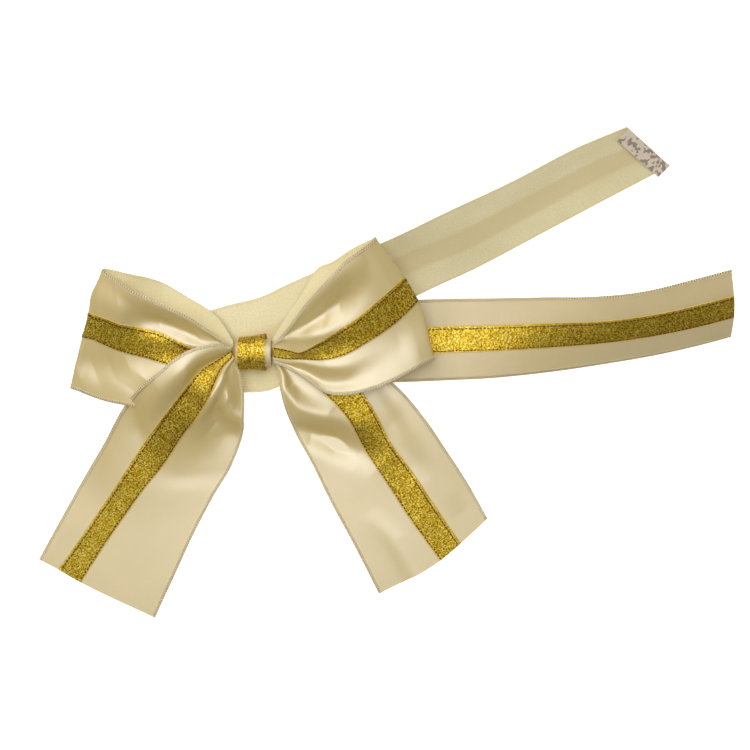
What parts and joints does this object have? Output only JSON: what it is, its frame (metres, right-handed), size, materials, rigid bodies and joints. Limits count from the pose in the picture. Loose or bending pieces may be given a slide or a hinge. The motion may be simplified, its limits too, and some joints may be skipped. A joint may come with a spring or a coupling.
{
  "type": "pre-made gift bow",
  "caption": "Satin gift bow with a stitched metallic stripe, tied by a short wrap on a folded satin band that closes round a box with double-sided tape.",
  "frame": {"origin": "on the underside of the band, beneath the middle of the knot", "axes": "+X along the band towards its free arms, +Y towards the loops' upper edges, +Z out of the bow's face"},
  "size_m": [0.3398, 0.2292, 0.0319],
  "materials": {
    "satin": "ivory satin weave, glossy face and matt reverse",
    "gold_lurex": "gold metallic yarn weave with glittering grains, stitched at both edges",
    "thread": "plain sewing thread",
    "glue": "translucent hot-melt glue",
    "tape": "clear double-sided adhesive tape",
    "liner": "smooth coated release paper with grey flecks"
  },
  "bodies": {
    "knot": {"bow_waist": "satin", "tie_thread": "thread", "knot_under_wrap": "satin", "knot_gold_wrap": "gold_lurex", "glue_dot": "glue", "band_lower_run": "satin", "gold_lower_run": "gold_lurex", "band_upper_run": "satin", "gold_upper_run": "gold_lurex", "band_fold": "satin", "gold_fold": "gold_lurex"},
    "left_side": {"bow_left_loop": "satin", "gold_left_loop": "gold_lurex", "bow_left_throat": "satin", "gold_left_throat": "gold_lurex"},
    "left_tail": {"bow_left_tail": "satin", "gold_left_tail": "gold_lurex"},
    "right_side": {"bow_right_loop": "satin", "gold_right_loop": "gold_lurex", "bow_right_throat": "satin", "gold_right_throat": "gold_lurex"},
    "right_tail": {"bow_right_tail": "satin", "gold_right_tail": "gold_lurex"},
    "long_arm": {"band_long_arm": "satin", "gold_long_arm": "gold_lurex"},
    "tape_arm": {"band_tape_arm": "satin", "gold_tape_arm": "gold_lurex", "adhesive_tape": "tape"},
    "liner": {"release_liner": "liner"}
  },
  "joints": [
    {"name": "left_side_lift", "type": "hinge", "parent": "knot", "child": "left_side", "pos_m": [-0.0096, 0, 0.0146], "axis": [0, 1, 0], "range_deg": [0, 25]},
    {"name": "left_tail_lift", "type": "hinge", "parent": "left_side", "child": "left_tail", "pos_m": [-0.0315, -0.029, 0.0112], "axis": [-0.9185, 0.3374, 0.2062], "range_deg": [0, 60]},
    {"name": "right_side_lift", "type": "hinge", "parent": "knot", "child": "right_side", "pos_m": [0.0096, 0, 0.013], "axis": [0, -1, 0], "range_deg": [0, 25]},
    {"name": "right_tail_lift", "type": "hinge", "parent": "right_side", "child": "right_tail", "pos_m": [0.046, -0.0325, 0.0057], "axis": [-0.8798, -0.4751, -0.0176], "range_deg": [0, 60]},
    {"name": "long_arm_lift", "type": "hinge", "parent": "knot", "child": "long_arm", "pos_m": [0.0945, 0.0065, 0.00085], "axis": [0.0256, -0.9997, 0], "range_deg": [0, 90]},
    {"name": "tape_arm_lift", "type": "hinge", "parent": "knot", "child": "tape_arm", "pos_m": [0.0985, 0.0515, 0.01265], "axis": [0.404, -0.6732, -0.6194], "range_deg": [0, 90]},
    {"name": "liner_peel", "type": "hinge", "parent": "tape_arm", "child": "liner", "pos_m": [0.18063, 0.09012, 0.01312], "axis": [0.7053, -0.3623, -0.6093], "range_deg": [0, 150]}
  ]
}
